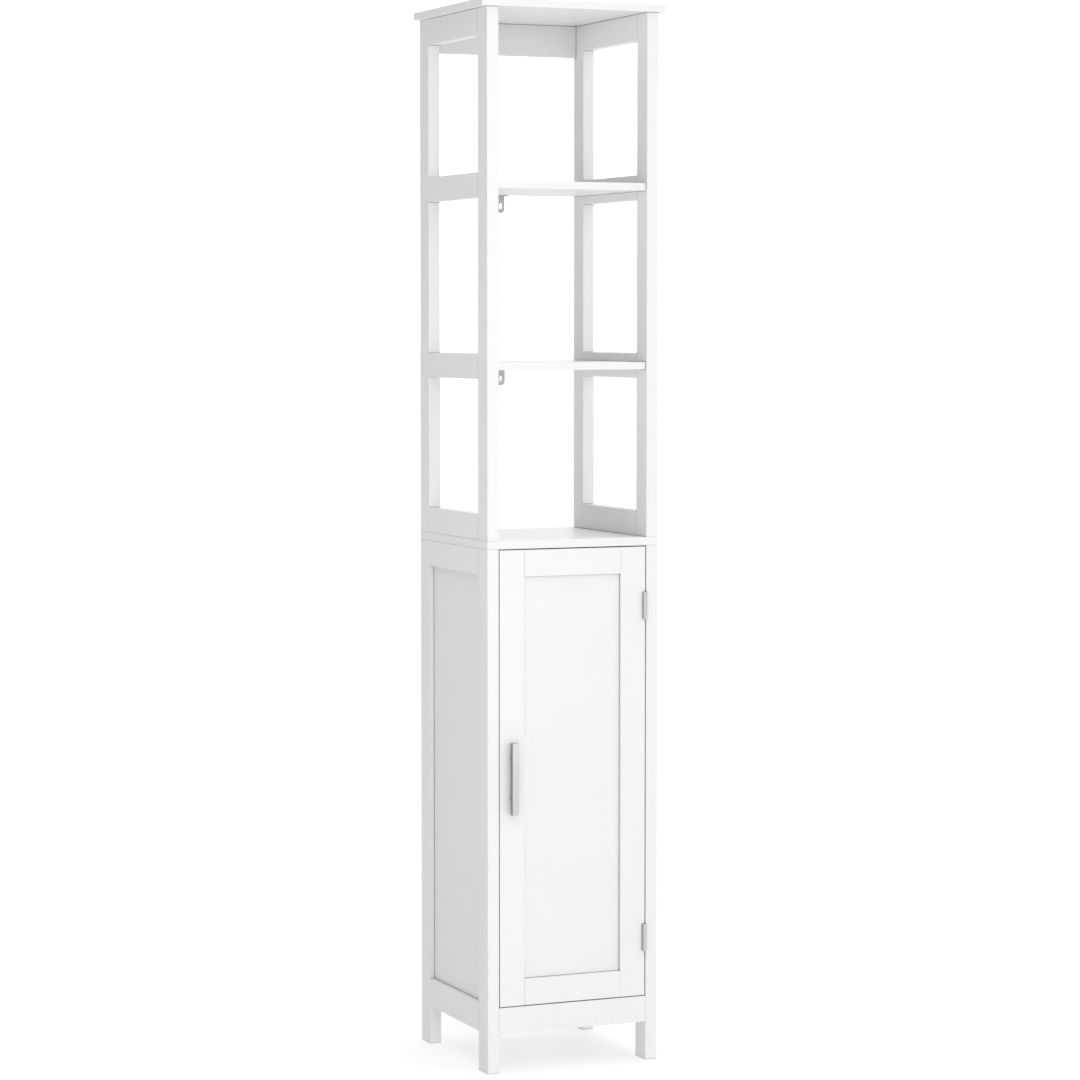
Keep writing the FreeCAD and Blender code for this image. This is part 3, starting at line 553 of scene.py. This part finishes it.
def solids(node):
    """The points of each separate solid of a node, one array for each."""
    mesh = nodes[node].data
    points = np.empty(len(mesh.vertices) * 3)
    mesh.vertices.foreach_get("co", points)
    ends = np.empty(len(mesh.edges) * 2, int)
    mesh.edges.foreach_get("vertices", ends)
    rounded = np.round(points.reshape(-1, 3), POINT_DECIMALS)
    keys, number = np.unique(rounded, axis=0, return_inverse=True)
    ends = number.reshape(-1)[ends].reshape(-1, 2)
    label = np.arange(len(keys))
    changed = True
    while changed:
        before = label.copy()
        lowest = label[ends].min(axis=1)
        np.minimum.at(label, ends[:, 0], lowest)
        np.minimum.at(label, ends[:, 1], lowest)
        changed = bool((label != before).any())
    return [keys[label == value] for value in np.unique(label)]


def head_and_aim(points):
    """Where a round part's wide end is, which way it points from there, and its length.

    It lies along the longest side of its box. The wide end is the one nearer to the points
    that lie furthest from the axis.
    """
    low, high = points.min(axis=0), points.max(axis=0)
    axis = int(np.argmax(high - low))
    middle = (low + high) / 2
    sideways = np.delete(points - middle, axis, axis=1)
    reach = np.hypot(sideways[:, 0], sideways[:, 1])
    widest = points[reach > reach.max() - RADIUS_TOLERANCE, axis].mean()
    sign = 1.0 if widest <= middle[axis] else -1.0
    start = middle.copy()
    start[axis] = low[axis] if sign > 0 else high[axis]
    aim = np.zeros(3)
    aim[axis] = sign
    return start, aim, float(high[axis] - low[axis])


def width_of(points):
    """The shortest side of a solid's box: the greatest width of a round part."""
    return float(np.sort(np.ptp(points, axis=0))[0])


print({name: len(solids(name)) for name in ("frame_dowels", "frame_screws", "cam_bolts")})

# %% [markdown]
# ## Surfaces from numpy
# A surface is a grid of points: rows run along the part and columns go round it. A part is
# worked out along the z axis, for the length that the CAD gives it, and then laid where the
# CAD has it, all as whole arrays. The first and last row may shrink to a single point, which
# closes the end, and the doubled points there are merged.


# %% From grids to a mesh
MERGE_DISTANCE = 2e-6
SHARP_ANGLE = math.radians(38)


def laid(surface, start, aim):
    """A surface made along z, moved so that z runs along the aim from the start.

    Two directions square to the aim carry x and y. The three are kept right-handed, so
    that nothing is turned inside out.
    """
    side = np.roll(np.abs(aim), 1)
    other = np.cross(aim, side)
    return start + surface[..., :1] * side + surface[..., 1:2] * other + surface[..., 2:] * aim


def laid_on_solids(node, shape):
    """The surface that a shape gives for a length, laid on each solid of a node."""
    surfaces = []
    for points in solids(node):
        start, aim, length = head_and_aim(points)
        surfaces.append(laid(shape(length), start, aim))
    return surfaces


def grid_faces(rows, columns):
    """Four-cornered faces between neighbouring rows, closed round the columns."""
    corner = np.arange(rows * columns).reshape(rows, columns)
    right = np.roll(corner, -1, axis=1)
    faces = np.stack([corner[:-1], right[:-1], right[1:], corner[1:]], axis=-1)
    return faces.reshape(-1, 4)


def volume_of(points, faces):
    """Signed volume: a sixth of the sum of corner products over each face's two halves."""
    a, b, c, d = (points[faces[:, index]] for index in range(4))
    halves = (a * np.cross(b, c)).sum() + (a * np.cross(c, d)).sum()
    return float(halves) / 6


def object_from_grids(name, surfaces, material):
    """One object from several grids. A closed grid gets its faces outwards."""
    parts, faces, used = [], [], 0
    for surface in surfaces:
        rows, columns = surface.shape[:2]
        points = surface.reshape(-1, 3)
        own = grid_faces(rows, columns)
        if volume_of(points, own) < 0:
            own = own[:, ::-1]
        parts.append(points)
        faces.append(own + used)
        used += len(points)
    mesh = bpy.data.meshes.new(name)
    mesh.from_pydata(np.concatenate(parts), [], np.concatenate(faces).tolist())
    shape = bmesh.new()
    shape.from_mesh(mesh)
    bmesh.ops.remove_doubles(shape, verts=shape.verts, dist=MERGE_DISTANCE)
    shape.to_mesh(mesh)
    shape.free()
    mesh.polygons.foreach_set("use_smooth", np.ones(len(mesh.polygons), bool))
    mesh.set_sharp_from_angle(angle=SHARP_ANGLE)
    mesh.materials.append(material)
    made = bpy.data.objects.new(name, mesh)
    bpy.context.scene.collection.objects.link(made)
    print(name, len(surfaces), "grids,", len(mesh.polygons), "faces")
    return made


def piece(name, surfaces, material, body, replaced):
    """An object that rides on a body and stands in for a CAD node."""
    made = object_from_grids(name, surfaces, material)
    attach(made, body)
    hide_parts(replaced)


# %% [markdown]
# ## The handle
# The handle is a square bar with softly broken edges. A rounded box is a small ball pulled
# apart: for each direction, start at the inner box's corner on that side, and go on by the
# ball's radius in that direction. Rows and columns crowd together at the corners, where the
# curve is.


# %% Rounded bar
CORNER_STEPS = 7


def sweep(quarters):
    """Angles of quarter turns, each with both its ends, so that the flats stay flat."""
    quarter = np.linspace(0.0, math.pi / 2, CORNER_STEPS)
    return np.concatenate([quarter + math.pi / 2 * index for index in range(quarters)])


def rounded_box(low, high, radius):
    """Inner corner plus radius times direction, for every direction of a ball.

    The flat ends are closed by one more row each, at their middle.
    """
    around = sweep(4)
    rise = sweep(2) - math.pi / 2
    up, turn = np.meshgrid(rise, around, indexing="ij")
    ball = np.stack([np.cos(up) * np.cos(turn), np.cos(up) * np.sin(turn), np.sin(up)], axis=-1)
    quadrant = np.repeat(np.arange(4), CORNER_STEPS)
    sign_x = np.array([1, -1, -1, 1])[quadrant][None, :]
    sign_y = np.array([1, 1, -1, -1])[quadrant][None, :]
    sign_z = np.repeat([-1, 1], CORNER_STEPS)[:, None]
    signs = np.stack(np.broadcast_arrays(sign_x, sign_y, sign_z), axis=-1)
    half = (high - low) / 2 - radius
    surface = (low + high) / 2 + signs * half + radius * ball
    foot = np.broadcast_to(surface[:1].mean(axis=1, keepdims=True), surface[:1].shape)
    crown = np.broadcast_to(surface[-1:].mean(axis=1, keepdims=True), surface[-1:].shape)
    return np.concatenate([foot, surface, crown])


bar_low, bar_high = (np.array(corner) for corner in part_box("handle_bar"))
bar = rounded_box(bar_low, bar_high, BAR_ROUNDING)
piece("handle_bar_rounded", [bar], bar_metal, "door", "handle_bar")

# %% [markdown]
# ## Turned parts
# A screw, a pin and a dowel are all turned: a profile of radius against length, carried
# round an axis. Two things break the circle. A thread is a ridge whose place along the
# screw moves on by one pitch in each turn, and a dowel's ribs run straight along it. Both
# are a change of radius that depends on length and angle.


# %% Profile carried round an axis
ROUND_COLUMNS = 32
ROWS_PER_PITCH = 6


def turned(profile, columns, spacing=None, relief=None):
    """Radius times cosine, radius times sine, length, over length and angle.

    The profile is a list of (length, radius) corners. Between them the length is divided
    evenly by the spacing, and the relief function takes away from the radius.
    """
    corners = np.array(profile, float)
    stations = corners[:, 0]
    if spacing:
        lengths = np.diff(stations)
        counts = np.maximum(1, np.ceil(lengths / spacing)).astype(int)
        steps = [np.arange(count) / count for count in counts]
        place = np.concatenate([index + step for index, step in enumerate(steps)] + [[len(counts)]])
    else:
        place = np.arange(len(corners), dtype=float)
    number = np.arange(len(corners))
    length = np.interp(place, number, stations)[:, None]
    radius = np.interp(place, number, corners[:, 1])[:, None]
    angle = np.linspace(0.0, 2 * math.pi, columns, endpoint=False)[None, :]
    if relief:
        radius = np.maximum(radius - relief(length, angle), 0.0)
    length, radius, angle = np.broadcast_arrays(length, radius, angle)
    return np.stack([radius * np.cos(angle), radius * np.sin(angle), length], axis=-1)


def thread(pitch, depth, start, end):
    """Depth of a thread: a triangle wave of length over pitch less angle over a turn.

    The wave is made steeper and cut off, which leaves a narrow flat crest and a wide root.
    The thread fades in after the start and out before the end.
    """
    steepness = 1.6
    cut = 0.1

    def relief(length, angle):
        phase = np.mod(length / pitch - angle / (2 * math.pi), 1.0)
        groove = np.clip(steepness * (1 - np.abs(2 * phase - 1)) - cut, 0.0, 1.0)
        fade = np.clip(np.minimum(length - start, end - length) / pitch, 0.0, 1.0)
        return depth * groove * fade

    return relief


# %% [markdown]
# A wood screw is countersunk: a flat face, a cone under it, and a shank whose thread runs to
# a point. The face has a cross-shaped socket for the driver. It is a grid of rings, and a
# point sinks where it lies inside one of the cross's two arms. The socket is deepest in the
# middle and its walls lean, as the driver's own tip does.


# %% Wood screws
FACE_RINGS = 11


def cross_socket(surface, rings, arm, depth):
    """Sink a head's rings by depth, inside two crossed arms that taper outwards."""
    half_width = arm * 0.30
    lean = arm * 0.10
    taper = arm * 0.35
    sunk = surface.copy()
    x, y = sunk[:rings, :, 0], sunk[:rings, :, 1]
    first = np.clip((half_width - np.abs(y)) / lean, 0, 1)
    second = np.clip((half_width - np.abs(x)) / lean, 0, 1)
    reach = np.clip((arm - np.hypot(x, y)) / taper, 0, 1)
    sunk[:rings, :, 2] += depth * np.maximum(first, second) * reach
    return sunk


def screw_surface(length, head, shank, head_height, pitch):
    """A countersunk wood screw: rings of the head's face, a cone, a shank and a tip."""
    rim = head_height * 0.12
    thread_start = length * 0.28
    thread_end = length * 0.97
    tip_start = length * 0.93
    face = [(0.0, head * share) for share in np.linspace(0.0, 0.48, FACE_RINGS)]
    body = [
        (rim, head / 2),
        (head_height, shank / 2),
        (thread_start, shank / 2),
        (tip_start, shank / 2),
        (length, 0.0),
    ]
    ridges = thread(pitch, depth=shank * 0.16, start=thread_start, end=thread_end)
    disc = turned(face, ROUND_COLUMNS)
    rest = turned(body, ROUND_COLUMNS, pitch / ROWS_PER_PITCH, ridges)
    whole = np.concatenate([disc, rest])
    return cross_socket(whole, len(disc), arm=head * 0.33, depth=head_height * 0.9)


def wood_screws(node, body, shank, pitch):
    """Screws laid where the CAD has them, with the head's size read from the solids.

    A countersunk head is a cone of 90 degrees, so it is as high as it stands out sideways.
    """
    surfaces = []
    for points in solids(node):
        start, aim, length = head_and_aim(points)
        head = width_of(points)
        made = screw_surface(length, head, shank, (head - shank) / 2, pitch)
        surfaces.append(laid(made, start, aim))
    piece(node + "_threaded", surfaces, zinc, body, node)


wood_screws("frame_screws", "cabinet", shank=0.004, pitch=0.0018)
wood_screws("cabinet_screws", "cabinet", shank=0.003, pitch=0.0013)
wood_screws("door_screws", "door", shank=0.003, pitch=0.0013)
wood_screws("bracket_screws", "cabinet", shank=0.003, pitch=0.0013)

# %% [markdown]
# The handle is held by machine screws with a low domed head behind the door. Their thread
# is finer than a wood screw's and runs right to a flat end.


# %% Handle screws
HANDLE_SCREW_HEAD = 0.008
HANDLE_SCREW_HEAD_HEIGHT = 0.0024
HANDLE_SCREW_SHANK = 0.004
HANDLE_SCREW_PITCH = 0.0007
DOME_RINGS = 10


def machine_screw(length):
    """A head that falls off with the square of the radius, then a thread to a flat end."""
    head, head_height = HANDLE_SCREW_HEAD, HANDLE_SCREW_HEAD_HEIGHT
    shank, pitch = HANDLE_SCREW_SHANK, HANDLE_SCREW_PITCH
    dome_height = head_height * 0.45
    thread_start = head_height * 1.4
    end_bevel = pitch * 0.5
    dome = [(dome_height * s ** 2, head / 2 * s) for s in np.linspace(0.0, 1.0, DOME_RINGS)]
    body = [
        (head_height, head / 2),
        (head_height, shank / 2),
        (thread_start, shank / 2),
        (length - end_bevel, shank / 2),
        (length, shank * 0.38),
        (length, 0.0),
    ]
    ridges = thread(pitch, depth=shank * 0.11, start=thread_start, end=length)
    disc = turned(dome, ROUND_COLUMNS)
    rest = turned(body, ROUND_COLUMNS, pitch / ROWS_PER_PITCH, ridges)
    whole = np.concatenate([disc, rest])
    return cross_socket(whole, len(disc), arm=head * 0.30, depth=head_height * 0.55)


surfaces = laid_on_solids("handle_screws", machine_screw)
piece("handle_screws_threaded", surfaces, zinc, "door", "handle_screws")

# %% [markdown]
# A furniture dowel is ribbed so that glue can spread and air can leave the hole, and both
# its ends are bevelled so that it starts easily. The ribs are a wave round the dowel that
# dies out at the bevels.


# %% Ribbed dowels
DOWEL_RIBS = 16
DOWEL_COLUMNS = 64


def dowel_surface(length, radius):
    """A bevelled rod whose radius dips by the square of a raised cosine, once for each rib."""
    bevel = radius * 0.3
    rib_start = bevel * 1.6
    rib_depth = radius * 0.09
    profile = [
        (0.0, 0.0),
        (0.0, radius - bevel),
        (bevel, radius),
        (rib_start, radius),
        (length - rib_start, radius),
        (length - bevel, radius),
        (length, radius - bevel),
        (length, 0.0),
    ]

    def ribs(place, angle):
        inside = np.clip(np.minimum(place, length - place) / bevel - 1.0, 0.0, 1.0)
        return rib_depth * inside * (0.5 - 0.5 * np.cos(DOWEL_RIBS * angle)) ** 2

    return turned(profile, DOWEL_COLUMNS, relief=ribs)


def ribbed_dowels(node, body):
    """Dowels laid where the CAD has them. All those of a node lie along one axis."""
    surfaces = []
    for points in solids(node):
        start, aim, length = head_and_aim(points)
        surfaces.append(laid(dowel_surface(length, width_of(points) / 2), start, aim))
    axis = "xyz"[int(np.argmax(np.abs(aim)))]
    piece(node + "_ribbed", surfaces, beech[axis], body, node)


ribbed_dowels("frame_dowels", "cabinet")
ribbed_dowels("cross_rail_dowels", "cabinet")
ribbed_dowels("stacking_dowels", "cabinet")
ribbed_dowels("door_dowels", "door")

# %% [markdown]
# A cam bolt has a coarse thread that bites the rail, a flange that stops it, a plain neck
# and a rounded head that the cam pulls on.


# %% Cam bolts
CAM_BOLT_THREAD = 0.010
CAM_BOLT_COLUMNS = 28


def cam_bolt_surface(length):
    """Head, neck, flange and coarse thread, as (length, radius) from the head's face."""
    thread_start = length - CAM_BOLT_THREAD
    profile = [
        (0.0, 0.0),
        (0.0, 0.0022),
        (0.0005, 0.0030),
        (0.0012, 0.0032),
        (0.0024, 0.0031),
        (0.0031, 0.0022),
        (0.0034, 0.0018),
        (0.0100, 0.0018),
        (thread_start - 0.0014, 0.0020),
        (thread_start - 0.0012, 0.0030),
        (thread_start - 0.0002, 0.0030),
        (thread_start, 0.0026),
        (thread_start + 0.0006, 0.0030),
        (length - 0.0016, 0.0030),
        (length, 0.0011),
        (length, 0.0),
    ]
    ridges = thread(pitch=0.0026, depth=0.0009, start=thread_start, end=length)
    return turned(profile, CAM_BOLT_COLUMNS, spacing=0.0005, relief=ridges)


surfaces = laid_on_solids("cam_bolts", cam_bolt_surface)
piece("cam_bolts_threaded", surfaces, zinc, "cabinet", "cam_bolts")

# %% [markdown]
# A shelf pin is a short turned peg: a plain shank in the post, a thin collar that stops it
# at the post's face, and a peg with a rounded nose under the shelf.


# %% Shelf pins
PIN_RADIUS = 0.0025
PIN_DEPTH_IN_POST = 0.009


def shelf_pin_surface(length):
    """Shank, collar and peg, whose nose is a quarter circle."""
    radius, depth = PIN_RADIUS, PIN_DEPTH_IN_POST
    bevel = 0.0005
    collar_radius = radius + 0.0011
    collar_end = depth + 0.0008
    collar_bevel = 0.0002
    nose = 0.0012
    arc = np.linspace(0.0, math.pi / 2, CORNER_STEPS)
    peg = [(length - nose + nose * math.sin(a), radius - nose + nose * math.cos(a)) for a in arc]
    profile = [
        (0.0, 0.0),
        (0.0, radius - bevel),
        (bevel, radius),
        (depth, radius),
        (depth, collar_radius - collar_bevel),
        (depth + collar_bevel, collar_radius),
        (collar_end - collar_bevel, collar_radius),
        (collar_end, collar_radius - collar_bevel),
        (collar_end, radius),
        *peg,
        (length, 0.0),
    ]
    return turned(profile, ROUND_COLUMNS)


surfaces = []
for points in solids("shelf_pins"):
    low, high = points.min(axis=0), points.max(axis=0)
    outward = np.sign((low + high)[0])
    start = (low + high) / 2
    start[0] = high[0] if outward > 0 else low[0]
    made = shelf_pin_surface(float(high[0] - low[0]))
    surfaces.append(laid(made, start, np.array([-outward, 0.0, 0.0])))
piece("shelf_pins_collared", surfaces, nickel, "cabinet", "shelf_pins")

# %% [markdown]
# The hinge pins are rods whose ends are spun to a low dome, level with the knuckles.


# %% Hinge pins
HINGE_PIN_RADIUS = 0.0015


def hinge_pin_surface(length):
    """A rod with a shallow dome at each end: the radius follows a quarter of an ellipse."""
    radius = HINGE_PIN_RADIUS
    dome = 0.0006
    arc = np.linspace(0.0, math.pi / 2, CORNER_STEPS)
    low_end = [(dome - dome * math.cos(a), radius * math.sin(a)) for a in arc]
    high_end = [(length - dome + dome * math.sin(a), radius * math.cos(a)) for a in arc]
    return turned(low_end + high_end, ROUND_COLUMNS)


surfaces = laid_on_solids("hinge_pins", hinge_pin_surface)
piece("hinge_pins_domed", surfaces, nickel, "cabinet", "hinge_pins")

# %% [markdown]
# ## Floor
# The floor is a plain pale disc. Its rings are cut from the rim inwards, which turns its
# faces up, and the last ring shrinks to the middle point. It glows faintly, as a light
# table does, so that the shade under the cabinet stays pale. It belongs to the studio and
# not to the cabinet.


# %% Floor
FLOOR_GLOW = 0.53
FLOOR_RINGS = [150.0, 40.0, 12.0, 4.0, 1.2, 0.0]
FLOOR_COLUMNS = 48


def pale_floor(tree):
    mottle = tree.noise(tree.place(), 3.0, 3.0)
    return {
        "Base Color": tree.blend(mottle, grey(0.44), grey(0.46)),
        "Roughness": mottle * 0.1 + 0.75,
        "Emission Color": grey(1.0),
        "Emission Strength": FLOOR_GLOW,
    }


rings = np.array(FLOOR_RINGS)[:, None]
angles = np.linspace(0.0, 2 * math.pi, FLOOR_COLUMNS, endpoint=False)[None, :]
disc = np.stack(np.broadcast_arrays(rings * np.cos(angles), rings * np.sin(angles), 0.0), axis=-1)
floor = object_from_grids("floor", [disc], finish("pale_floor", pale_floor))
